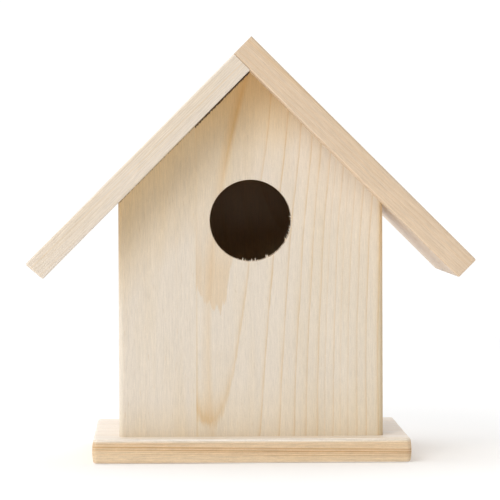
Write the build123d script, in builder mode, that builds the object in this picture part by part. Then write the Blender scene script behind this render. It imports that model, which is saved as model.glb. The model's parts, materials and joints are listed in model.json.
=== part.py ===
"""Small pine birdhouse with a glued front panel, a two-board gable roof and a rear clean-out door.

Frame: origin at the centre of the base board's underside, +Z up, the entrance faces -Y.
All sizes are in millimetres.
"""
import os
from math import radians, sqrt, tan

from build123d import *

# ---- driving dimensions ----------------------------------------------------------------------

board = 10.0                 # thickness of the walls and panels
body_width = 113.5
body_depth = 86.0
wall_height = 100.0          # from the base board's top to the eave line

base_width = 136.5
base_depth = 110.0
base_thickness = 10.5
base_ease = 1.2              # rounding of the base board's long edges
base_corner = 2.2            # rounding of its four upright corners
base_end_bulge = 0.6         # how far its sanded ends stand out at mid thickness

roof_depth = 130.0           # along the ridge
left_roof_length = 135.7     # down the slope, from the apex to the eave
right_roof_length = 134.2
left_roof_thickness = 9.7
right_roof_thickness = 10.6
left_eave_cut = 4.3          # degrees off square
right_eave_skew = 1.6        # the right eave is this much longer at the back
roof_ease = 0.8
ridge_x = -0.5               # the roof sits this far left of the body's centre

glue_line_x = -23.6          # joint between the two staves of the front panel
slope_gap = 0.4              # thin gap over the wide stave's left slope
entrance_radius = 17.5
entrance_height = 92.8       # centre of the entrance above the base board's top
entrance_ease = 0.4
front_edge_ease = 2.2        # rounding of the front panel's upright edges
rear_edge_ease = 1.0

door_height = 69.0           # base board's top to the seam below the back gable
door_gap = 0.3               # between the door's inside face and the side walls
seam_gap = 0.8               # above and below the door

knuckle_radius = 1.5
hinge_height = 18.0
hinge_inset = 17.0           # from the door's top or bottom edge to the middle of a hinge
leaf_width = 8.2             # from the hinge axis to the leaf's outer edge
leaf_thickness = 0.8
leaf_corner = 1.0
leaf_clearance = 0.3
middle_knuckle = 5.7
hinge_pin_radius = 0.75
hinge_pin_head_radius = 1.15
hinge_pin_head_height = 0.5
running_clearance = 0.05     # radial, between a pin and what turns on it
hinge_screw_across = 5.0     # from the hinge axis to the screw row
hinge_screw_spacing = 10.0
hinge_screw_radius = 0.8
hinge_screw_head_radius = 1.6
hinge_screw_length = 7.5

button_length = 32.0
button_width = 10.0
button_thickness = 5.0
button_ease = 1.0
button_x = -32.0
button_above_seam = 8.5
button_clearance = 0.3       # off the back face, and below the screw head
button_screw_radius = 1.25
button_screw_length = 14.0
button_screw_head_radius = 2.7
button_screw_head_height = 1.6

base_screw_radius = 1.5
base_screw_head_radius = 3.0
base_screw_length = 28.0
base_screw_wall_y = 22.0
base_screw_front_x = 32.0

nail_radius = 0.7
nail_head_radius = 1.3
nail_head_height = 0.6
nail_length = 25.0
roof_nail_positions = (24.0, 64.0)        # down the slope from the ridge's inside corner
ridge_nail_spacing = 32.0
ridge_nail_count = 4
gable_nail_heights = (8.0, 20.0)          # above the seam

wood_fit = 0.05              # room round a fastener in its hole
slot_width = 0.5
slot_depth = 0.5

# ---- derived places ---------------------------------------------------------------------------

half_width = body_width / 2
half_depth = body_depth / 2
front_inside_y = -half_depth + board
rear_inside_y = half_depth - board
base_top = base_thickness
entrance_z = base_top + entrance_height
seam_z = base_top + door_height
ridge_z = base_top + wall_height + half_width      # the ridge's inside corner
slope = 1 / sqrt(2)                                # both roof slopes lie at 45 degrees
apex_x = ridge_x + (right_roof_thickness - left_roof_thickness) * slope
apex_z = ridge_z + (right_roof_thickness + left_roof_thickness) * slope

door_bottom = base_top + seam_gap
door_top = seam_z - seam_gap
hinge_x = half_width + knuckle_radius
hinge_y = rear_inside_y + door_gap / 2
hinge_heights = {"lower": door_bottom + hinge_inset, "upper": door_top - hinge_inset}
button_z = seam_z + button_above_seam
button_back_y = half_depth + button_clearance
button_screw_y = button_back_y + button_thickness + button_clearance
button_shank_depth = button_screw_length - (button_screw_y - half_depth)


def underside(x):
    """Height of the roof's underside at x."""
    return ridge_z - abs(x - ridge_x)


def upright(y):
    """Plane facing the front at depth y: local x is +X, local y is +Z."""
    return Plane.XZ.offset(-y)


def into(x, y, z, outwards):
    """Place of a fastener whose head is at (x, y, z) and whose head side looks outwards."""
    return Plane(origin=(x, y, z), z_dir=outwards).location


# ---- fasteners: head at the local origin, shank down local -Z ---------------------------------

def wood_screw(radius, head_radius, length, room=0.0):
    """Countersunk slotted wood screw; with room it is the hole that the screw needs."""
    with BuildPart() as screw:
        with BuildSketch(Plane.XZ):
            with BuildLine():
                Polyline(
                    (0, room),
                    (head_radius + room, room),
                    (radius + room, radius - head_radius),
                    (radius + room, 2 * radius - length),
                    (0, -length - room),
                    close=True,
                )
            make_face()
        revolve(axis=Axis.Z)
        if not room:
            Box(2 * head_radius, slot_width, 2 * slot_depth, mode=Mode.SUBTRACT)
    return screw.part


def nail(room=0.0):
    """Small flat-headed nail; with room it is the hole that the nail needs."""
    with BuildPart() as body:
        with BuildSketch(Plane.XZ):
            with BuildLine():
                Polyline(
                    (0, room),
                    (nail_head_radius + room, room),
                    (nail_head_radius + room, -nail_head_height),
                    (nail_radius + room, -nail_head_height),
                    (nail_radius + room, 2 * nail_radius - nail_length),
                    (0, -nail_length - room),
                    close=True,
                )
            make_face()
        revolve(axis=Axis.Z)
    return body.part


def copies(piece, places, label):
    """One part with a separate copy of the piece at each place."""
    with BuildPart() as group:
        with Locations(*places):
            add(piece)
    group.part.label = label
    return group.part


base_screw = wood_screw(base_screw_radius, base_screw_head_radius, base_screw_length)
base_screw_hole = wood_screw(
    base_screw_radius, base_screw_head_radius, base_screw_length, wood_fit
)
hinge_screw = wood_screw(hinge_screw_radius, hinge_screw_head_radius, hinge_screw_length)
hinge_screw_hole = wood_screw(
    hinge_screw_radius, hinge_screw_head_radius, hinge_screw_length, wood_fit
)
plain_nail = nail()
nail_hole = nail(wood_fit)

wall_middle = half_width - board / 2
front_panel_y = -half_depth + board / 2
back_panel_y = half_depth - board / 2

wall_screw_places = {
    side: [
        into(side * wall_middle, end * base_screw_wall_y, 0, (0, 0, -1)) for end in (-1, 1)
    ]
    for side in (-1, 1)
}
front_screw_places = [
    into(side * base_screw_front_x, front_panel_y, 0, (0, 0, -1)) for side in (-1, 1)
]
base_screw_places = wall_screw_places[-1] + wall_screw_places[1] + front_screw_places

gable_nail_places = {
    side: [
        into(side * wall_middle, half_depth, seam_z + height, (0, 1, 0))
        for height in gable_nail_heights
    ]
    for side in (-1, 1)
}


def roof_nail_places(side, thickness):
    """Nails square through one roof board into the front panel's and the back gable's slopes."""
    return [
        into(
            ridge_x + side * (along + thickness) * slope,
            y,
            ridge_z + (thickness - along) * slope,
            (side, 0, 1),
        )
        for along in roof_nail_positions
        for y in (front_panel_y, back_panel_y)
    ]


left_nail_places = roof_nail_places(-1, left_roof_thickness)
right_nail_places = roof_nail_places(1, right_roof_thickness)

ridge_nail_places = [
    into(
        apex_x + left_roof_thickness / 2 * slope,
        (index - (ridge_nail_count - 1) / 2) * ridge_nail_spacing,
        apex_z - left_roof_thickness / 2 * slope,
        (1, 0, 1),
    )
    for index in range(ridge_nail_count)
]


def hinge_screw_places(direction):
    """Screw places on the leaves that lie on one side of the hinge axis."""
    return [
        into(
            half_width + leaf_thickness,
            hinge_y + direction * hinge_screw_across,
            middle + end * hinge_screw_spacing / 2,
            (1, 0, 0),
        )
        for middle in hinge_heights.values()
        for end in (-1, 1)
    ]


wall_leaf_screw_places = hinge_screw_places(-1)
door_leaf_screw_places = hinge_screw_places(1)

# ---- base board -------------------------------------------------------------------------------

straight_end = base_width / 2 - base_end_bulge
with BuildPart() as base_board:
    with BuildSketch(upright(-base_depth / 2)):
        with BuildLine():
            Line((-straight_end, 0), (straight_end, 0))
            ThreePointArc(
                (straight_end, 0),
                (base_width / 2, base_thickness / 2),
                (straight_end, base_thickness),
            )
            Line((straight_end, base_thickness), (-straight_end, base_thickness))
            ThreePointArc(
                (-straight_end, base_thickness),
                (-base_width / 2, base_thickness / 2),
                (-straight_end, 0),
            )
        make_face()
    extrude(amount=-base_depth)
    fillet(base_board.edges().filter_by(GeomType.CIRCLE), radius=base_corner)
    fillet(base_board.faces().filter_by(Axis.Z).edges(), radius=base_ease)
    with Locations(*base_screw_places):
        add(base_screw_hole, mode=Mode.SUBTRACT)
base_board.part.label = "base_board"

# ---- front panel: two staves glued edge to edge -------------------------------------------------

with BuildPart() as front_left_stave:
    with BuildSketch(upright(-half_depth)):
        with BuildLine():
            Polyline(
                (-half_width, base_top),
                (glue_line_x, base_top),
                (glue_line_x, underside(glue_line_x)),
                (-half_width, underside(-half_width)),
                close=True,
            )
        make_face()
    extrude(amount=-board)
    outer_edges = front_left_stave.edges().filter_by(Axis.Z).group_by(Axis.X)[0]
    fillet(outer_edges.sort_by(Axis.Y)[0], radius=front_edge_ease)
    with Locations(*front_screw_places):
        add(base_screw_hole, mode=Mode.SUBTRACT)
    with Locations(*left_nail_places):
        add(nail_hole, mode=Mode.SUBTRACT)
front_left_stave.part.label = "front_left_stave"

slope_drop = slope_gap / slope
stave_peak_x = ridge_x + slope_drop / 2
with BuildPart() as front_right_stave:
    with BuildSketch(upright(-half_depth)):
        with BuildLine():
            Polyline(
                (glue_line_x, base_top),
                (half_width, base_top),
                (half_width, underside(half_width)),
                (stave_peak_x, underside(stave_peak_x)),
                (glue_line_x, underside(glue_line_x) - slope_drop),
                close=True,
            )
        make_face()
        with Locations((0, entrance_z)):
            Circle(entrance_radius, mode=Mode.SUBTRACT)
    extrude(amount=-board)
    outer_edges = front_right_stave.edges().filter_by(Axis.Z).group_by(Axis.X)[-1]
    fillet(outer_edges.sort_by(Axis.Y)[0], radius=front_edge_ease)
    entrance_rims = front_right_stave.faces().filter_by(GeomType.CYLINDER).sort_by(SortBy.AREA)[-1]
    fillet(entrance_rims.edges().filter_by(GeomType.CIRCLE).sort_by(Axis.Y)[0], entrance_ease)
    with Locations(*front_screw_places):
        add(base_screw_hole, mode=Mode.SUBTRACT)
    with Locations(*left_nail_places, *right_nail_places):
        add(nail_hole, mode=Mode.SUBTRACT)
front_right_stave.part.label = "front_right_stave"

# ---- side walls, bevelled under the roof --------------------------------------------------------

walls = {}
for name, side in (("left_wall", -1), ("right_wall", 1)):
    outside = side * half_width
    inside = side * (half_width - board)
    with BuildPart() as wall:
        with BuildSketch(upright(front_inside_y)):
            with BuildLine():
                Polyline(
                    (outside, base_top),
                    (outside, underside(outside)),
                    (inside, underside(inside)),
                    (inside, base_top),
                    close=True,
                )
            make_face()
        extrude(amount=front_inside_y - rear_inside_y)
        with Locations(*wall_screw_places[side]):
            add(base_screw_hole, mode=Mode.SUBTRACT)
        with Locations(*gable_nail_places[side]):
            add(nail_hole, mode=Mode.SUBTRACT)
        if side == 1:
            with Locations(*wall_leaf_screw_places):
                add(hinge_screw_hole, mode=Mode.SUBTRACT)
    wall.part.label = name
    walls[name] = wall.part

# ---- back: fixed gable above, hinged door below --------------------------------------------------

with BuildPart() as back_gable:
    with BuildSketch(upright(rear_inside_y)):
        with BuildLine():
            Polyline(
                (-half_width, seam_z),
                (half_width, seam_z),
                (half_width, underside(half_width)),
                (ridge_x, ridge_z),
                (-half_width, underside(-half_width)),
                close=True,
            )
        make_face()
    extrude(amount=-board)
    fillet(back_gable.edges().filter_by(Axis.Z).group_by(Axis.Y)[-1], radius=rear_edge_ease)
    with Locations(*gable_nail_places[-1], *gable_nail_places[1]):
        add(nail_hole, mode=Mode.SUBTRACT)
    with Locations(*left_nail_places, *right_nail_places):
        add(nail_hole, mode=Mode.SUBTRACT)
    with Locations(into(button_x, half_depth, button_z, (0, 1, 0))):
        Hole(button_screw_radius + wood_fit, depth=button_shank_depth + wood_fit)
back_gable.part.label = "back_gable"

with BuildPart() as clean_out_door:
    with BuildSketch(upright(rear_inside_y + door_gap)):
        with BuildLine():
            Polyline(
                (-half_width, door_bottom),
                (half_width, door_bottom),
                (half_width, door_top),
                (-half_width, door_top),
                close=True,
            )
        make_face()
    extrude(amount=door_gap - board)
    fillet(clean_out_door.edges().filter_by(Axis.Z).group_by(Axis.Y)[-1], radius=rear_edge_ease)
    with Locations(*door_leaf_screw_places):
        add(hinge_screw_hole, mode=Mode.SUBTRACT)
clean_out_door.part.label = "clean_out_door"

# ---- roof: the right board covers the left board's upper end ------------------------------------

with BuildPart() as left_roof_board:
    short_length = left_roof_length - left_roof_thickness * tan(radians(left_eave_cut))
    apex = (apex_x, -roof_depth / 2, apex_z)
    with BuildSketch(Plane(origin=apex, x_dir=(-1, 0, -1), z_dir=(0, 1, 0))):
        with BuildLine():
            Polyline(
                (right_roof_thickness, 0),
                (left_roof_length, 0),
                (short_length, -left_roof_thickness),
                (right_roof_thickness, -left_roof_thickness),
                close=True,
            )
        make_face()
    extrude(amount=roof_depth)
    ridge_end = left_roof_board.faces().sort_by(Axis.X)[-1]
    fillet(left_roof_board.edges() - ridge_end.edges(), radius=roof_ease)
    with Locations(*left_nail_places, *ridge_nail_places):
        add(nail_hole, mode=Mode.SUBTRACT)
left_roof_board.part.label = "left_roof_board"

with BuildPart() as right_roof_board:
    with BuildSketch(Plane(origin=(apex_x, 0, apex_z), x_dir=(1, 0, -1), z_dir=(1, 0, 1))):
        with BuildLine():
            Polyline(
                (0, -roof_depth / 2),
                (right_roof_length, -roof_depth / 2),
                (right_roof_length + right_eave_skew, roof_depth / 2),
                (0, roof_depth / 2),
                close=True,
            )
        make_face()
    extrude(amount=-right_roof_thickness)
    ridge_end = right_roof_board.faces().sort_by(Axis.X)[0]
    fillet(right_roof_board.edges() - ridge_end.edges(), radius=roof_ease)
    with Locations(*right_nail_places, *ridge_nail_places):
        add(nail_hole, mode=Mode.SUBTRACT)
right_roof_board.part.label = "right_roof_board"

# ---- hinges: leaves lie on the right wall's outside face and on the door's edge -----------------


def hinge_leaf(name, middle, direction, knuckles):
    """One leaf: its plate, and its knuckles (middle height, length) rolled round the hinge axis."""
    plate_start = knuckle_radius + leaf_clearance
    plate_width = leaf_width - plate_start
    plate_y = hinge_y + direction * (plate_start + plate_width / 2)
    tab_width = plate_start + leaf_corner
    with BuildPart() as leaf:
        with BuildSketch(Plane.YZ.offset(half_width)):
            with Locations((plate_y, middle)):
                RectangleRounded(plate_width, hinge_height, leaf_corner)
            for height, length in knuckles:
                with Locations((hinge_y + direction * tab_width / 2, middle + height)):
                    Rectangle(tab_width, length)
        extrude(amount=leaf_thickness)
        for height, length in knuckles:
            with Locations((hinge_x, hinge_y, middle + height)):
                Cylinder(knuckle_radius, length)
        with Locations((hinge_x, hinge_y, middle)):
            Cylinder(
                hinge_pin_radius + running_clearance, 2 * hinge_height, mode=Mode.SUBTRACT
            )
        with Locations(*wall_leaf_screw_places, *door_leaf_screw_places):
            add(hinge_screw_hole, mode=Mode.SUBTRACT)
    leaf.part.label = name
    return leaf.part


end_knuckle = (hinge_height - middle_knuckle) / 2 - leaf_clearance
end_knuckle_height = (hinge_height - end_knuckle) / 2
wall_knuckles = ((-end_knuckle_height, end_knuckle), (end_knuckle_height, end_knuckle))
door_knuckles = ((0, middle_knuckle),)

hinge_parts = {}
for level, middle in hinge_heights.items():
    name = f"{level}_hinge_wall_leaf"
    hinge_parts[name] = hinge_leaf(name, middle, -1, wall_knuckles)
    name = f"{level}_hinge_door_leaf"
    hinge_parts[name] = hinge_leaf(name, middle, 1, door_knuckles)
    with BuildPart() as hinge_pin:
        with Locations((hinge_x, hinge_y, middle)):
            Cylinder(hinge_pin_radius, hinge_height)
        head_height = (hinge_height + hinge_pin_head_height) / 2
        with Locations(
            (hinge_x, hinge_y, middle - head_height), (hinge_x, hinge_y, middle + head_height)
        ):
            Cylinder(hinge_pin_head_radius, hinge_pin_head_height)
        rims = hinge_pin.edges().filter_by(GeomType.CIRCLE).sort_by(Axis.Z)
        fillet((rims[0], rims[-1]), radius=hinge_pin_head_height / 2)
    name = f"{level}_hinge_pin"
    hinge_pin.part.label = name
    hinge_parts[name] = hinge_pin.part

# ---- turn button, stored level and clear of the door ---------------------------------------------

with BuildPart() as turn_button:
    with BuildSketch(upright(button_back_y)):
        with Locations((button_x, button_z)):
            SlotOverall(button_length, button_width)
            Circle(button_screw_radius + running_clearance, mode=Mode.SUBTRACT)
    extrude(amount=-button_thickness)
    rear_outline = turn_button.faces().sort_by(Axis.Y)[-1].outer_wire().edges()
    fillet(rear_outline, radius=button_ease)
turn_button.part.label = "turn_button"

with BuildPart() as turn_button_screw:
    with BuildSketch(Plane.XY.move(Location((button_x, button_screw_y, button_z)))):
        with BuildLine():
            Polyline(
                (button_screw_head_radius, 0),
                (button_screw_radius, 0),
                (button_screw_radius, 2 * button_screw_radius - button_screw_length),
                (0, -button_screw_length),
                (0, button_screw_head_height),
            )
            ThreePointArc(
                (0, button_screw_head_height),
                (button_screw_head_radius * slope, button_screw_head_height * slope),
                (button_screw_head_radius, 0),
            )
        make_face()
    revolve(axis=Axis((button_x, button_screw_y, button_z), (0, 1, 0)))
    with Locations((button_x, button_screw_y + button_screw_head_height, button_z)):
        Box(2 * button_screw_head_radius, 2 * slot_depth, slot_width, mode=Mode.SUBTRACT)
turn_button_screw.part.label = "turn_button_screw"

# ---- fasteners in place ---------------------------------------------------------------------------

fasteners = [
    copies(base_screw, base_screw_places, "base_screws"),
    copies(plain_nail, left_nail_places, "left_roof_nails"),
    copies(plain_nail, right_nail_places, "right_roof_nails"),
    copies(plain_nail, ridge_nail_places, "ridge_nails"),
    copies(plain_nail, gable_nail_places[-1] + gable_nail_places[1], "back_gable_nails"),
    copies(hinge_screw, wall_leaf_screw_places, "hinge_wall_screws"),
    copies(hinge_screw, door_leaf_screw_places, "hinge_door_screws"),
]

# ---- one file for each piece -------------------------------------------------------------------------

boards = (
    base_board,
    front_left_stave,
    front_right_stave,
    back_gable,
    clean_out_door,
    left_roof_board,
    right_roof_board,
    turn_button,
    turn_button_screw,
)
pieces = [piece.part for piece in boards] + [*walls.values(), *hinge_parts.values(), *fasteners]

os.makedirs("parts", exist_ok=True)
for piece in pieces:
    export_step(piece, f"parts/{piece.label}.step")
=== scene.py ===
import json
import math
import random

import bpy
from mathutils import Matrix, Vector


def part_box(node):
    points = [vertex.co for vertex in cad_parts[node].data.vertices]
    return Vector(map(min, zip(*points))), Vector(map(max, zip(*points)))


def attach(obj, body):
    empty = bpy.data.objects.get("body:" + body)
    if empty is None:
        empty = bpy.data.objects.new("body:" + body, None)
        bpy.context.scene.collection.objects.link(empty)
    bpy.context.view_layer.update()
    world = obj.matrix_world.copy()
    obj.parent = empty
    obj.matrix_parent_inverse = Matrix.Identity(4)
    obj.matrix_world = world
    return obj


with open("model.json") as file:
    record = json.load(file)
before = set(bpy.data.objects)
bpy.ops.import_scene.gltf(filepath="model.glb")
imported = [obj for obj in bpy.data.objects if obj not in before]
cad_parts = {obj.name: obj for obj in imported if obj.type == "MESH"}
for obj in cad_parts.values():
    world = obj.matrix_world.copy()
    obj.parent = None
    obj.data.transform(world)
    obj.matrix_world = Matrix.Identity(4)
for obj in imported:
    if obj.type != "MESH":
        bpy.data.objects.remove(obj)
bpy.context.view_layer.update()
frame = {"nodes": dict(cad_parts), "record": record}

nodes = frame["nodes"]
MM = 0.001


# ---- camera and light -------------------------------------------------------------------------

def make_camera():
    """Long lens about 1.4 m in front of the house, a little to its left, looking slightly down."""
    place = Vector((-36.7, -1467.0, 134.0)) * MM
    right_turn, down_tilt, roll = (math.radians(angle) for angle in (1.465, 1.744, -0.22))
    data = bpy.data.cameras.new("camera")
    data.lens = 239.0
    data.sensor_width = 36.0
    data.clip_start = 0.05
    camera = bpy.data.objects.new("camera", data)
    camera.matrix_world = (
        Matrix.Translation(place)
        @ Matrix.Rotation(-right_turn, 4, "Z")
        @ Matrix.Rotation(math.pi / 2 - down_tilt, 4, "X")
        @ Matrix.Rotation(roll, 4, "Z")
    )
    bpy.context.scene.collection.objects.link(camera)
    bpy.context.scene.camera = camera


def area_light(name, place, target, size, power, colour):
    """Square soft light at place, aimed at target."""
    data = bpy.data.lights.new(name, "AREA")
    data.size = size
    data.energy = power
    data.color = colour
    light = bpy.data.objects.new(name, data)
    light.location = place
    light.rotation_euler = (Vector(target) - Vector(place)).to_track_quat("-Z", "Y").to_euler()
    bpy.context.scene.collection.objects.link(light)


def make_world():
    """White sweep behind, above and left of the house, and a dim room in front of it.

    The camera itself sees plain white all round.
    """
    sweep_side = (-0.52, 0.76, 0.42)
    dim_from, bright_from = -0.55, 0.45
    dim, bright, seen = 0.12, 1.18, 1.05
    world = bpy.data.worlds.new("studio")
    world.use_nodes = True
    tree = world.node_tree
    background = tree.nodes["Background"]
    direction = tree.nodes.new("ShaderNodeTexCoord")
    facing = tree.nodes.new("ShaderNodeVectorMath")
    facing.operation = "DOT_PRODUCT"
    facing.inputs[1].default_value = sweep_side
    room = tree.nodes.new("ShaderNodeMapRange")
    room.inputs["From Min"].default_value = dim_from
    room.inputs["From Max"].default_value = bright_from
    room.inputs["To Min"].default_value = dim
    room.inputs["To Max"].default_value = bright
    path = tree.nodes.new("ShaderNodeLightPath")
    level = tree.nodes.new("ShaderNodeMix")
    level.inputs["B"].default_value = seen
    tree.links.new(direction.outputs["Generated"], facing.inputs[0])
    tree.links.new(facing.outputs["Value"], room.inputs["Value"])
    tree.links.new(room.outputs["Result"], level.inputs["A"])
    tree.links.new(path.outputs["Is Camera Ray"], level.inputs["Factor"])
    tree.links.new(level.outputs["Result"], background.inputs["Strength"])
    background.inputs["Color"].default_value = (1.0, 1.0, 1.0, 1.0)
    bpy.context.scene.world = world


def make_floor():
    """Plain pale round table top, a hair below the base board, that glows a little."""
    radius, sides, level = 0.9, 96, -0.1 * MM
    glow = 0.15
    corners = [
        (radius * math.cos(math.tau * step / sides), radius * math.sin(math.tau * step / sides), level)
        for step in range(sides)
    ]
    mesh = bpy.data.meshes.new("floor")
    mesh.from_pydata(corners, [], [tuple(range(sides))])
    floor = bpy.data.objects.new("floor", mesh)
    bpy.context.scene.collection.objects.link(floor)
    material = bpy.data.materials.new("floor")
    material.use_nodes = True
    shader = material.node_tree.nodes["Principled BSDF"]
    shader.inputs["Base Color"].default_value = (0.9, 0.9, 0.9, 1.0)
    shader.inputs["Roughness"].default_value = 0.9
    shader.inputs["Emission Color"].default_value = (1.0, 1.0, 1.0, 1.0)
    shader.inputs["Emission Strength"].default_value = glow
    mesh.materials.append(material)


# ---- shader building --------------------------------------------------------------------------

class Shader:
    """Short ways to add nodes to one material; every value may be a number or another output."""

    def __init__(self, name):
        self.material = bpy.data.materials.new(name)
        self.material.use_nodes = True
        self.tree = self.material.node_tree
        self.surface = self.tree.nodes["Principled BSDF"]

    def put(self, socket, value):
        if isinstance(value, bpy.types.NodeSocket):
            self.tree.links.new(value, socket)
        else:
            socket.default_value = value

    def node(self, kind, inputs=(), **settings):
        node = self.tree.nodes.new(kind)
        for key, value in settings.items():
            setattr(node, key, value)
        for key, value in dict(inputs).items():
            self.put(node.inputs[key], value)
        return node

    def math(self, operation, first, second=0.0, third=0.0):
        inputs = {0: first, 1: second, 2: third}
        return self.node("ShaderNodeMath", inputs, operation=operation).outputs[0]

    def vector(self, operation, first, second=(0.0, 0.0, 0.0), third=(0.0, 0.0, 0.0)):
        inputs = {0: first, 1: second, 2: third}
        return self.node("ShaderNodeVectorMath", inputs, operation=operation)

    def total(self, *values):
        result = values[0]
        for value in values[1:]:
            result = self.math("ADD", result, value)
        return result

    def product(self, *values):
        result = values[0]
        for value in values[1:]:
            result = self.math("MULTIPLY", result, value)
        return result

    def spread(self, value, low, high, to_low=0.0, to_high=1.0):
        """Value from low to high, taken to to_low to to_high and held there."""
        inputs = {
            "Value": value,
            "From Min": low,
            "From Max": high,
            "To Min": to_low,
            "To Max": to_high,
        }
        return self.node("ShaderNodeMapRange", inputs).outputs["Result"]

    def hump(self, value, middle, half_width):
        """1 at middle, falling smoothly to 0 at half_width on both sides."""
        away = self.math("ABSOLUTE", self.math("SUBTRACT", value, middle))
        inputs = {"Value": away, "From Min": half_width, "From Max": 0.0}
        settings = {"interpolation_type": "SMOOTHSTEP"}
        return self.node("ShaderNodeMapRange", inputs, **settings).outputs["Result"]

    def noise(self, board, scale, shift=0.0, detail=2.0, roughness=0.5):
        """Noise from about 0.25 to 0.75; scale is how many blobs there are per unit, each way."""
        place = self.vector("MULTIPLY_ADD", board, scale, (shift, 0.7 * shift, 0.3 * shift))
        inputs = {"Vector": place.outputs[0], "Scale": 1.0, "Detail": detail}
        inputs["Roughness"] = roughness
        return self.node("ShaderNodeTexNoise", inputs).outputs["Fac"]

    def ramp(self, value, stops):
        """Colour ramp; a stop is (place, number) or (place, (r, g, b))."""
        node = self.node("ShaderNodeValToRGB", {"Fac": value})
        elements = node.color_ramp.elements
        while len(elements) < len(stops):
            elements.new(0.5)
        for element, (place, colour) in zip(elements, stops):
            element.position = place
            if isinstance(colour, (int, float)):
                colour = (colour,) * 3
            element.color = (*colour, 1.0)
        return node.outputs["Color"]

    def curve(self, value, points):
        """Height of the line through points (value, height), held beyond its ends."""
        low, high = points[0][0], points[-1][0]
        least = min(height for _, height in points)
        most = max(height for _, height in points)
        stops = [
            ((place - low) / (high - low), (height - least) / (most - least))
            for place, height in points
        ]
        found = self.ramp(self.spread(value, low, high), stops)
        return self.spread(found, 0.0, 1.0, least, most)


# ---- pine -------------------------------------------------------------------------------------

# Directions that the boards lie in.
RIGHT, BACK, UP = (1.0, 0.0, 0.0), (0.0, 1.0, 0.0), (0.0, 0.0, 1.0)
SIN_45 = math.sqrt(0.5)
LEFT_SLOPE, LEFT_OUT = (-SIN_45, 0.0, -SIN_45), (-SIN_45, 0.0, SIN_45)
RIGHT_SLOPE, RIGHT_OUT = (SIN_45, 0.0, -SIN_45), (SIN_45, 0.0, SIN_45)

# The nest chamber's half width and half depth, and the height of its floor, in mm.
INSIDE = (-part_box("left_wall")[1].x / MM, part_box("right_wall")[1].y / MM)
FLOOR_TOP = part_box("base_board")[1].z / MM
# Heights at which the undersides of the roof boards would reach the middle of the house, x = 0.
LEFT_RIDGE = (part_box("left_wall")[1].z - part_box("left_wall")[1].x) / MM
RIGHT_RIDGE = (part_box("right_wall")[1].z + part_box("right_wall")[0].x) / MM

# Colours of the early wood.
PANEL_EARLY = (0.805, 0.715, 0.605)
LEFT_ROOF_EARLY = (0.835, 0.735, 0.625)
RIGHT_ROOF_EARLY = (0.78, 0.61, 0.445)
BASE_EARLY = (0.93, 0.855, 0.76)
BUTTON_EARLY = (0.72, 0.58, 0.40)

# Tints that a stain multiplies the colour by.
LATE_WOOD = (0.90, 0.76, 0.54)
BASE_LATE_WOOD = (0.70, 0.50, 0.30)
WARM_PATCH = (1.0, 0.97, 0.90)
RESIN_CANAL = (0.86, 0.76, 0.62)
OPEN_PORE = (0.80, 0.70, 0.55)
# painted shade inside the nest chamber, and darker painted shade at its top
PAINTED_INSIDE_SHADE = (1.0, 0.82, 0.51)
PAINTED_INSIDE_TOP_SHADE = (0.52, 0.38, 0.22)
# painted shade under the left roof slope
PAINTED_ROOF_SHADE = (1.0, 0.83, 0.50)
# painted shadow in the gap under the left roof slope
PAINTED_GAP_SHADOW = (0.16, 0.10, 0.06)
ORANGE_STREAK = (0.92, 0.74, 0.46)
TAN_TONGUE = (0.955, 0.865, 0.735)
TAN_FOOT = (0.985, 0.935, 0.855)
GLUE_LINE = (0.92, 0.82, 0.62)
# painted shade at the peak of the front panel, under both roof slopes
PAINTED_PEAK_SHADE = (0.92, 0.83, 0.66)
YELLOW_FOOT = (1.0, 0.96, 0.86)
YELLOW_SIDE = (1.0, 0.975, 0.90)
# painted shade on the front panel's right eased edge
PAINTED_RIGHT_EDGE_SHADE = (0.94, 0.86, 0.69)
# darker sides of the base board: partly the wood's tone, partly a painted sheen kept on its top
SIDE_TONE_AND_PAINTED_TOP_SHEEN = (0.882, 0.744, 0.56)
BASE_BAND = (0.83, 0.67, 0.47)

# Shade across one growth ring, from its inner side to the late wood line that ends it.
RING_SHADE = ((0.0, 0.0), (0.55, 0.03), (0.74, 0.16), (0.86, 0.45), (0.94, 0.95), (1.0, 1.0))


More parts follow.
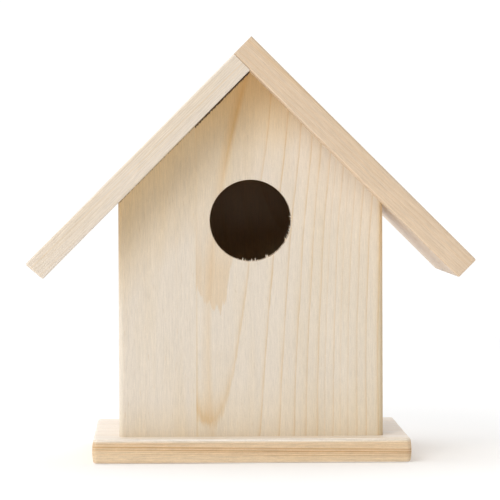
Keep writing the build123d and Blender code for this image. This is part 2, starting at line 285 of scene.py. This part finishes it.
class Pine(Shader):
    """Bare sanded pine. Places are in mm; across, through and along are the board's directions."""

    def __init__(self, name, across, through, along, early, seed, late=LATE_WOOD):
        super().__init__(name)
        self.seed = seed
        self.late = late
        coordinates = self.node("ShaderNodeTexCoord")
        per_mm = (1 / MM,) * 3
        self.place = self.vector("MULTIPLY", coordinates.outputs["Object"], per_mm).outputs[0]
        self.across, self.through, self.along = (
            self.vector("DOT_PRODUCT", self.place, direction).outputs["Value"]
            for direction in (across, through, along)
        )
        parts = {0: self.across, 1: self.through, 2: self.along}
        self.board = self.node("ShaderNodeCombineXYZ", parts).outputs[0]
        facing = self.vector("DOT_PRODUCT", coordinates.outputs["Normal"], along).outputs["Value"]
        self.end_grain = self.spread(self.math("ABSOLUTE", facing), 0.6, 0.9)
        self.colour = (*early, 1.0)
        self.dark = 0.0  # how much late wood shows, once ring_lines has drawn it

    def stain(self, amount, tint):
        """Multiplies the colour by tint, as far as amount says."""
        inputs = {0: amount, 6: self.colour, 7: (*tint, 1.0)}
        settings = {"data_type": "RGBA", "blend_type": "MULTIPLY"}
        self.colour = self.node("ShaderNodeMix", inputs, **settings).outputs[2]

    def sway(self, size):
        """Sideways wander of the grain along the board, up to about size each way."""
        slow = self.noise(self.board, (0.03, 0.03, 0.012), self.seed, detail=1.0)
        quick = self.noise(self.board, (0.20, 0.20, 0.045), 2.0 * self.seed, detail=2.0)
        return self.total(
            self.spread(slow, 0.2, 0.8, -size, size),
            self.spread(quick, 0.2, 0.8, -0.3 * size, 0.3 * size),
        )

    def ring_lines(self, count, strength, narrow=1.0):
        """Late wood lines where count passes a whole number, sharp on their outer side.

        A narrow over 1 draws finer lines, and one under 1 broader lines.
        """
        outer_side = 0.03
        part = self.math("FRACT", count)
        shade = self.ramp(self.math("POWER", part, narrow), RING_SHADE)
        shade = self.math("MAXIMUM", shade, self.spread(part, 0.0, outer_side, 1.0, 0.0))
        patchy = self.noise(self.board, (0.3, 0.3, 0.04), 3.0 * self.seed, detail=3.0)
        amount = self.product(shade, strength, self.spread(patchy, 0.3, 0.7, 0.75, 1.2))
        self.dark = amount
        self.stain(amount, self.late)

    def round_rings(self, pith, lean, spacing, faint, strong, wander=1.0, narrow=1.0):
        """Rings round a pith at (across, through) that leans so much for each mm along.

        Each ring's late wood gets its own strength by chance, from faint to strong.
        """
        across = self.math("MULTIPLY_ADD", self.along, -lean[0], self.across)
        across = self.total(across, self.sway(wander), -pith[0])
        through = self.math("MULTIPLY_ADD", self.along, -lean[1], self.through)
        through = self.total(through, -pith[1])
        radius = self.math(
            "SQRT", self.total(self.product(across, across), self.product(through, through))
        )
        count = self.math("DIVIDE", radius, spacing)
        uneven = self.node(
            "ShaderNodeTexNoise", {"W": count, "Scale": 0.45, "Detail": 1.0}, noise_dimensions="1D"
        ).outputs["Fac"]
        count = self.total(count, self.spread(uneven, 0.2, 0.8, -0.7, 0.7))
        ring = self.total(self.math("ROUND", self.math("SUBTRACT", count, 0.35)), self.seed)
        chance = self.node("ShaderNodeTexWhiteNoise", {"W": ring}, noise_dimensions="1D")
        strength = self.spread(chance.outputs["Value"], 0.0, 1.0, faint, strong)
        self.ring_lines(count, strength, narrow)

    def fibres(self, depth, tone=0.02):
        """Short fine dashes along the grain, broader streaks and slow changes of tone.

        It adds a few warm patches and resin canals too.
        """
        seed = self.seed
        dash = self.noise(self.board, (2.4, 2.4, 0.17), seed, detail=3.0, roughness=0.75)
        streak = self.noise(self.board, (1.1, 1.1, 0.03), 4.0 * seed, detail=3.0, roughness=0.6)
        fuzz = self.noise(self.board, (2.4, 2.4, 2.0), 5.0 * seed, detail=1.0)
        broad = self.noise(self.board, (0.07, 0.07, 0.02), 6.0 * seed, detail=2.0)
        light = self.total(
            self.spread(dash, 0.30, 0.70, 1.0 - 2.0 * depth, 1.0 + 2.0 * depth),
            self.spread(streak, 0.25, 0.75, -0.9 * depth, 0.9 * depth),
            self.spread(fuzz, 0.30, 0.70, -0.5 * depth, 0.5 * depth),
            self.spread(broad, 0.3, 0.7, -tone, tone),
        )
        scaled = self.node(
            "ShaderNodeVectorMath", {0: self.colour, "Scale": light}, operation="SCALE"
        )
        self.colour = scaled.outputs[0]
        warm = self.noise(self.board, (0.16, 0.16, 0.02), 7.0 * seed, detail=2.0)
        self.stain(self.spread(warm, 0.45, 0.72, 0.0, 0.6), WARM_PATCH)
        canal = self.noise(self.board, (2.8, 2.8, 0.2), 8.0 * seed, detail=1.0)
        self.stain(self.spread(canal, 0.70, 0.76, 0.0, 0.5), RESIN_CANAL)
        self.dash, self.streak = dash, streak

    def rough_ends(self):
        """Darker open pores on the sawn ends."""
        amount = 0.5
        self.pores = self.noise(self.board, (2.6, 2.6, 0.3), 9.0 * self.seed, detail=3.0)
        pitted = self.product(self.end_grain, self.spread(self.pores, 0.3, 0.7, 0.4, 1.0), amount)
        self.stain(pitted, OPEN_PORE)

    def paint_inside_shade(self):
        """Painted shade on the faces inside the nest chamber: browner and darker than the outer faces,
        darkest at the top.
        """
        dark_from, dark_to = 88.0, 118.0
        x, y, z = self.node("ShaderNodeSeparateXYZ", {0: self.place}).outputs
        wall, front = INSIDE
        left_roof = self.total(x, LEFT_RIDGE, self.product(z, -1.0))
        right_roof = self.total(RIGHT_RIDGE, self.product(self.total(x, z), -1.0))
        near = self.product(
            self.spread(self.math("ABSOLUTE", x), wall + 0.7, wall + 0.4),
            self.spread(self.math("ABSOLUTE", y), front + 0.7, front + 0.4),
            self.spread(z, FLOOR_TOP - 0.4, FLOOR_TOP - 0.1),
            self.spread(self.math("MINIMUM", left_roof, right_roof), -1.2, -0.6),
        )
        # painted shade on the inside faces, darker still towards the top
        self.stain(near, PAINTED_INSIDE_SHADE)
        self.stain(self.product(near, self.spread(z, dark_from, dark_to)), PAINTED_INSIDE_TOP_SHADE)

    def finish(self):
        """Sets the colour, roughness and surface relief, and gives the material."""
        smooth, coarse = 0.44, 0.56
        relief_depth = 0.12 * MM
        self.rough_ends()
        # painted shade inside the nest chamber
        self.paint_inside_shade()
        self.put(self.surface.inputs["Base Color"], self.colour)
        rough = self.total(
            self.spread(self.dash, 0.3, 0.7, smooth, coarse),
            self.product(self.end_grain, 0.2),
            self.product(self.dark, -0.12),
        )
        self.put(self.surface.inputs["Roughness"], rough)
        self.surface.inputs["Specular IOR Level"].default_value = 0.5
        self.surface.inputs["Coat Weight"].default_value = 0.3
        self.surface.inputs["Coat Roughness"].default_value = 0.3
        ripple = self.noise(self.board, (0.03, 0.03, 0.3), 10.0 * self.seed, detail=1.0)
        relief = self.total(
            self.product(self.dash, 0.6),
            self.product(self.streak, 0.35),
            self.product(self.dark, 0.25),
            self.product(ripple, 0.3),
            self.product(self.pores, self.end_grain, 0.8),
        )
        bump = self.node(
            "ShaderNodeBump", {"Height": relief, "Strength": 0.6, "Distance": relief_depth}
        )
        self.put(self.surface.inputs["Normal"], bump.outputs["Normal"])
        return self.material


# Late wood lines of the wide front stave as (place, strength). A line lies where
# (x - heart)^2 + bend * depth - tilt * height, in mm2, passes its place. The depth is behind the
# panel's face, and the height is above the base board.
WIDE_STAVE_HEART = -18.1
WIDE_STAVE_BEND = 280.0
WIDE_STAVE_TILT = 4.93
WIDE_STAVE_LINES = (
    (-990, 0.0),
    (-506, 0.0),
    (-28, 0.62),
    (450, 0.70),
    (885, 0.62),
    (1305, 0.60),
    (1690, 0.55),
    (2115, 0.55),
    (2400, 0.32),
    (2785, 0.52),
    (3100, 0.24),
    (3485, 0.40),
    (3960, 0.50),
    (4490, 0.60),
    (5240, 0.70),
    (5750, 0.50),
)
# Lower end of its tan tongue beside the entrance, as (x, z), and its right side, as (z, x), in mm.
TONGUE_EDGES = (
    ((-24.4, 75.7), (-22.3, 71.4), (-19.0, 68.0), (-15.8, 65.8), (-11.5, 67.9), (-10.0, 70.0)),
    ((64.0, -11.5), (68.0, -11.2), (75.0, -9.8), (82.0, -8.5), (95.0, -7.0)),
)
# The same two sides of the tan wood near the foot, with heights above the base board for z.
FOOT_EDGES = (
    ((-25.6, 8.3), (-23.0, 7.0), (-20.0, 6.1), (-18.0, 5.7), (-15.5, 6.8), (-13.5, 9.5)),
    ((5.0, -16.5), (9.5, -13.6), (16.0, -10.8), (22.0, -8.8)),
)
# Sideways bow of its grain, in mm at heights above the base board.
WIDE_STAVE_BOW = ((4, -0.7), (25, 0.2), (50, 0.7), (85, 0.8), (104, 0.1), (120, -0.7), (140, -1.0))


def paint_roof_shade(board, reach, amount, gap, gap_shadow):
    """Painted shade near the top of the front panel under the left roof slope, warm and darkest at the
    slope, and a painted shadow along the gap under the slope.
    """
    drop = board.total(LEFT_RIDGE, board.across, board.product(board.along, -1.0))
    below = board.product(drop, SIN_45)
    # painted shade: warm darkening that fades away from the left roof slope
    board.stain(board.spread(below, reach, 0.0, 0.0, amount), PAINTED_ROOF_SHADE)
    # painted shadow in the gap between the panel and the left roof slope, with a ragged edge
    ragged = board.noise(board.board, (2.2, 2.2, 0.5), 12.3, detail=2.0, roughness=0.7)
    edge = board.total(below, -gap, board.spread(ragged, 0.3, 0.7, -0.40, 0.30))
    board.stain(board.spread(edge, 0.38, 0.14, 0.0, gap_shadow), PAINTED_GAP_SHADOW)


def yellow_foot(board, height, reach):
    """Slightly yellower wood towards the foot of the front panel."""
    board.stain(board.spread(height, reach, 0.0, 0.0, 0.8), YELLOW_FOOT)


def arched_rings(board, height, front):
    """The wide stave's growth rings, which follow WIDE_STAVE_LINES."""
    fray = 16.0
    bow = board.curve(height, WIDE_STAVE_BOW)
    side = board.total(board.across, bow, board.sway(0.35), -WIDE_STAVE_HEART)
    frayed = board.noise(board.board, (0.9, 0.9, 0.03), 1.7, detail=3.0, roughness=0.7)
    depth = board.total(
        board.product(side, side),
        board.product(board.total(board.through, -front), WIDE_STAVE_BEND),
        board.product(height, -WIDE_STAVE_TILT),
        board.spread(frayed, 0.25, 0.75, -fray, fray),
    )
    first, last = WIDE_STAVE_LINES[0][0], WIDE_STAVE_LINES[-1][0]
    steps = len(WIDE_STAVE_LINES) - 1
    stops = [
        ((place - first) / (last - first), (index / steps, strength, 0.0))
        for index, (place, strength) in enumerate(WIDE_STAVE_LINES)
    ]
    found = board.ramp(board.spread(depth, first, last), stops)
    count, strength, _ = board.node("ShaderNodeSeparateColor", {0: found}).outputs
    narrow = board.spread(depth, 0.0, 1500.0, 3.0, 1.0)
    board.ring_lines(board.product(count, steps), strength, narrow)


def orange_streak(board, height):
    """The broad orange streak that runs down from the peak to the entrance."""
    entrance_top, streak_x = 105.5, -13.4
    rise = board.total(height, -entrance_top)
    line = board.total(streak_x, board.product(rise, 0.17), board.product(rise, rise, 0.0013))
    aside = board.math("SUBTRACT", board.total(board.across, board.sway(0.3)), line)
    across = ((-3.2, 0.0), (-1.3, 0.45), (-0.2, 0.7), (0.5, 1.0), (1.2, 0.6), (2.4, 0.0))
    streak = board.product(
        board.curve(aside, across),
        board.spread(rise, -6.0, 26.0, 0.30, 0.85),
        board.spread(rise, 46.0, 34.0, 0.6, 1.0),
        board.spread(board.dark, 0.0, 1.0, 1.0, 0.6),
    )
    board.stain(streak, ORANGE_STREAK)


def tan_patch(board, upright, edges, fray, soft):
    """1 above the lower end and left of the right side that edges gives, fraying along the grain."""
    lower_end, right_side = edges
    above = board.total(upright, fray)
    end_soft, side_soft = soft
    return board.product(
        board.spread(
            board.math("SUBTRACT", above, board.curve(board.across, lower_end)), -end_soft, end_soft
        ),
        board.spread(
            board.math("SUBTRACT", board.curve(above, right_side), board.across), -side_soft, side_soft
        ),
    )


def tan_tongues(board, height):
    """The tan tongue beside and below the entrance, and the same wood again near the foot."""
    ragged = board.noise(board.board, (0.75, 0.75, 0.02), 5.3, detail=3.0, roughness=0.7)
    ragged = board.spread(ragged, 0.25, 0.75, -5.0, 5.0)
    bands = ((-24.0, 0.75), (-21.5, 0.85), (-20.5, 0.55), (-18.5, 0.8), (-15.0, 1.0), (-8.0, 0.85))
    tongue = board.product(
        tan_patch(board, board.along, TONGUE_EDGES, ragged, (0.4, 0.25)),
        board.spread(board.along, 108.0, 82.0),
        board.curve(board.across, bands),
    )
    board.stain(tongue, TAN_TONGUE)
    foot = board.product(
        tan_patch(board, height, FOOT_EDGES, board.product(ragged, 0.25), (0.3, 0.3)),
        board.spread(height, 20.0, 8.0),
    )
    board.stain(foot, TAN_FOOT)


def wide_stave():
    """Plain-sawn board: tall arches at its left, straight lines at its right."""
    board = Pine("pine_wide_stave", RIGHT, BACK, UP, PANEL_EARLY, seed=3.1)
    low, high = (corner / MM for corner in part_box("front_right_stave"))
    height = board.total(board.along, -low.z)
    arched_rings(board, height, low.y)
    orange_streak(board, height)
    tan_tongues(board, height)
    seam = board.hump(board.across, low.x + 0.2, 0.9)
    board.stain(board.product(seam, board.spread(height, 75.0, 30.0, 0.15, 0.6)), GLUE_LINE)
    # painted shade under the left roof slope, and a painted shadow in the gap under it
    paint_roof_shade(board, reach=36.0, amount=0.78, gap=0.4, gap_shadow=1.0)
    # painted shade at the peak, under both roof slopes
    board.stain(board.spread(height, 122.0, 148.0), PAINTED_PEAK_SHADE)
    yellow_foot(board, height, 26.0)
    board.stain(board.spread(board.across, 10.0, high.x, 0.0, 0.5), YELLOW_SIDE)
    # painted shade on the right eased edge, which faces away from the light
    corner = board.product(
        board.spread(board.across, high.x - 3.0, high.x - 0.3),
        board.spread(board.through, low.y + 3.5, low.y + 1.5),
    )
    board.stain(corner, PAINTED_RIGHT_EDGE_SHADE)
    board.fibres(0.040)
    return board.finish()


def narrow_stave():
    """Quarter-sawn board: hardly any rings, and short fine dashes."""
    board = Pine("pine_narrow_stave", RIGHT, BACK, UP, PANEL_EARLY, seed=7.7)
    board.round_rings((-300.0, -40.0), (-0.01, 0.0), spacing=1.7, faint=0.0, strong=0.10)
    # painted shade under the left roof slope, and a painted shadow in the gap under it
    paint_roof_shade(board, reach=34.0, amount=0.80, gap=0.0, gap_shadow=0.6)
    height = board.total(board.along, -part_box("front_left_stave")[0].z / MM)
    yellow_foot(board, height, 16.0)
    board.fibres(0.040)
    return board.finish()


def plain_board(name, across, through, along, early, seed, rings, fibre=0.035):
    """Board with round rings and fibres."""
    board = Pine(name, across, through, along, early, seed)
    board.round_rings(**rings)
    board.fibres(fibre)
    return board.finish()


def base_pine():
    """Board cut across its rings, with edges crowded with dark late wood lines. Its sides are darker
    than its top and eased top edge, partly the wood's own tone and partly a painted sheen on the top.
    """
    ease = (0.8, 1.9)
    band_place, band_half, band_fall = 0.55, 3.0, 0.02
    board = Pine("pine_base", BACK, UP, RIGHT, BASE_EARLY, seed=35.5, late=BASE_LATE_WOOD)
    low, high = (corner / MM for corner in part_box("base_board"))
    normal = board.node("ShaderNodeTexCoord").outputs["Normal"]
    upright = board.math("ABSOLUTE", board.node("ShaderNodeSeparateXYZ", {0: normal}).outputs[2])
    below_top = board.math("SUBTRACT", high.z, board.through)
    # sides darker than the top and its eased edge: partly the wood's own tone, partly a painted sheen
    # on the top
    edge = board.product(board.spread(upright, 0.85, 0.45), board.spread(below_top, *ease))
    board.stain(edge, SIDE_TONE_AND_PAINTED_TOP_SHEEN)
    # the darkest lines crowd in a band that falls from left to right
    drift = board.noise(board.board, (0.02, 0.02, 0.015), 2.2, detail=1.0)
    drift = board.spread(drift, 0.25, 0.75, -0.6, 0.6)
    level = board.total(board.through, board.product(board.along, band_fall), drift)
    crowd = board.hump(level, low.z + band_place * (high.z - low.z), band_half)
    board.round_rings(
        (-55.0, -40.0), (0.0, -0.012), spacing=0.95, wander=0.6, narrow=0.55,
        faint=board.spread(crowd, 0.0, 1.0, 0.10, 0.40),
        strong=board.spread(crowd, 0.0, 1.0, 0.60, 1.25),
    )
    band = board.product(edge, crowd, board.spread(board.dark, 0.0, 0.6, 0.35, 1.0))
    board.stain(band, BASE_BAND)
    board.fibres(0.07)
    return board.finish()


def board_materials():
    """A separate piece of pine for each board."""
    ring = {"faint": 0.10, "strong": 0.60, "wander": 1.2}
    panel = {"early": PANEL_EARLY, "along": UP}
    return {
        "front_right_stave": wide_stave(),
        "front_left_stave": narrow_stave(),
        "left_wall": plain_board(
            "pine_left_wall", BACK, RIGHT, seed=11.3, **panel,
            rings={"pith": (-8.0, -10.0), "lean": (0.02, 0.09), "spacing": 4.5, **ring},
        ),
        "right_wall": plain_board(
            "pine_right_wall", BACK, RIGHT, seed=15.9, **panel,
            rings={"pith": (12.0, 4.0), "lean": (-0.02, -0.12), "spacing": 5.0, **ring},
        ),
        "back_gable": plain_board(
            "pine_back_gable", RIGHT, BACK, seed=19.2, **panel,
            rings={"pith": (16.0, -20.0), "lean": (0.03, 0.10), "spacing": 4.8, **ring},
        ),
        "clean_out_door": plain_board(
            "pine_door", RIGHT, BACK, seed=23.4, **panel,
            rings={"pith": (-14.0, -5.0), "lean": (-0.02, 0.12), "spacing": 4.4, **ring},
        ),
        "left_roof_board": plain_board(
            "pine_left_roof", BACK, LEFT_OUT, LEFT_SLOPE, LEFT_ROOF_EARLY, seed=27.8, fibre=0.05,
            rings={
                "pith": (-62.0, 60.0), "lean": (0.03, 0.02), "spacing": 0.95,
                "faint": 0.05, "strong": 0.75, "narrow": 0.5,
            },
        ),
        "right_roof_board": plain_board(
            "pine_right_roof", BACK, RIGHT_OUT, RIGHT_SLOPE, RIGHT_ROOF_EARLY, seed=31.6, fibre=0.05,
            rings={
                "pith": (-60.0, 65.0), "lean": (0.02, 0.05), "spacing": 1.1,
                "faint": 0.05, "strong": 0.70, "narrow": 0.5,
            },
        ),
        "base_board": base_pine(),
        "turn_button": plain_board(
            "pine_button", UP, BACK, RIGHT, BUTTON_EARLY, seed=39.1,
            rings={
                "pith": (60.0, 30.0), "lean": (0.0, 0.05), "spacing": 1.4,
                "faint": 0.2, "strong": 0.8,
            },
        ),
    }


# ---- metals -----------------------------------------------------------------------------------

def metal(name, colour, shadow, roughness):
    """Small pressed or drawn fitting: dulled colour, fine scratches and a soft dented surface."""
    cloud_scale, scratch_scale = (400.0, 400.0, 400.0), (7200.0, 7200.0, 900.0)
    relief_depth = 0.02 * MM
    shader = Shader(name)
    place = shader.node("ShaderNodeTexCoord").outputs["Object"]
    cloud = shader.noise(place, cloud_scale, detail=4.0)
    scratch = shader.noise(place, scratch_scale, detail=3.0)
    stain = shader.product(shader.spread(cloud, 0.45, 0.80), 0.6)
    tinted = shader.node(
        "ShaderNodeMix", {0: stain, 6: (*colour, 1.0), 7: (*shadow, 1.0)}, data_type="RGBA"
    )
    shader.put(shader.surface.inputs["Base Color"], tinted.outputs[2])
    shader.surface.inputs["Metallic"].default_value = 1.0
    rough = shader.spread(scratch, 0.3, 0.7, roughness - 0.07, roughness + 0.1)
    shader.put(shader.surface.inputs["Roughness"], shader.total(rough, shader.product(stain, 0.12)))
    relief = shader.total(shader.product(scratch, 0.4), shader.product(cloud, 0.3))
    bump = shader.node(
        "ShaderNodeBump", {"Height": relief, "Strength": 0.3, "Distance": relief_depth}
    )
    shader.put(shader.surface.inputs["Normal"], bump.outputs["Normal"])
    return shader.material


def dress(node, material):
    """Gives a CAD node its material."""
    slots = nodes[node].data.materials
    slots.clear()
    slots.append(material)


def dress_all():
    """Dresses every CAD node, and gives the boards' materials by node."""
    boards = board_materials()
    for node, material in boards.items():
        dress(node, material)
    brass = metal("brass", colour=(0.80, 0.60, 0.27), shadow=(0.45, 0.30, 0.12), roughness=0.30)
    zinc = metal("zinc_steel", colour=(0.70, 0.71, 0.72), shadow=(0.42, 0.42, 0.43), roughness=0.38)
    finish = {"hinge_brass": brass, "zinc_steel": zinc}
    for part in frame["record"]["subparts"]:
        if part["material_slot"] in finish:
            dress(part["node"], finish[part["material_slot"]])
    return boards


# ---- torn fibres round the entrance -----------------------------------------------------------

def add_sliver(vertices, faces, rim, tip):
    """Four-sided sliver from the corners of its rim to its tip."""
    start = len(vertices)
    vertices += [*rim, tip]
    for side in range(4):
        faces.append((start + side, start + (side + 1) % 4, start + 4))
    faces.append((start + 3, start + 2, start + 1, start))


def rim_slivers(vertices, faces, face):
    """Short slivers that the hole saw left on the entrance's rim, most on its lower right."""
    mounts = {mount["name"]: mount for mount in frame["record"]["mounts"]}
    centre_x, _, centre_z = mounts["entrance_hole"]["pos_m"]
    radius = mounts["entrance_hole"]["dims"]["r_mm"] * MM
    count, rooted = 44, 0.3 * MM
    inward = Vector((0.0, 1.0, 0.0))
    chance = random.Random(5)
    for index in range(count):
        low_side = index % 4
        angles = (-105.0, 6.0) if low_side else (6.0, 255.0)
        angle = math.radians(chance.uniform(*angles))
        length = chance.uniform(0.4, 1.25) * MM * (1.0 if low_side else 0.4)
        half_wide = chance.uniform(0.16, 0.40) * MM
        depth = face + chance.uniform(0.25, 0.7) * MM
        outward = Vector((math.cos(angle), 0.0, math.sin(angle)))
        along = Vector((-math.sin(angle), 0.0, math.cos(angle)))
        foot = Vector((centre_x, depth, centre_z)) + (radius + rooted) * outward
        rise = Vector((0.0, 0.0, chance.uniform(0.2, 0.9) * length))
        rim = (
            foot - half_wide * along,
            foot - 0.3 * half_wide * inward,
            foot + half_wide * along,
            foot + 1.4 * half_wide * inward,
        )
        add_sliver(vertices, faces, rim, foot - (rooted + length) * outward + rise)


def face_sliver(vertices, faces, face):
    """One sliver lifted from the panel's face, below the entrance and left of its middle."""
    root = Vector((-6.9 * MM, face, 74.0 * MM))
    end = Vector((-6.1 * MM, face, 71.7 * MM))
    aside = Vector((0.2, 0.0, 0.0)) * MM
    lift = Vector((0.0, -0.3, 0.0)) * MM
    middle = root.lerp(end, 0.5)
    rim = (root, middle - aside, end, middle + aside)
    add_sliver(vertices, faces, rim, root.lerp(end, 0.6) + lift)


def torn_fibres(material):
    """All the slivers, as one piece."""
    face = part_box("front_right_stave")[0].y
    vertices, faces = [], []
    rim_slivers(vertices, faces, face)
    face_sliver(vertices, faces, face)
    mesh = bpy.data.meshes.new("torn_fibres")
    mesh.from_pydata(vertices, [], faces)
    mesh.materials.append(material)
    piece = bpy.data.objects.new("torn_fibres", mesh)
    bpy.context.scene.collection.objects.link(piece)
    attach(piece, "house")


# ---- the scene --------------------------------------------------------------------------------

make_camera()
make_world()
make_floor()
area_light(
    "key", place=(-0.62, -1.25, 0.98), target=(0.0, 0.0, 0.09),
    size=0.85, power=10.0, colour=(1.0, 0.985, 0.955),
)
wood = dress_all()
torn_fibres(wood["front_right_stave"])
bpy.context.scene.view_settings.view_transform = "Standard"
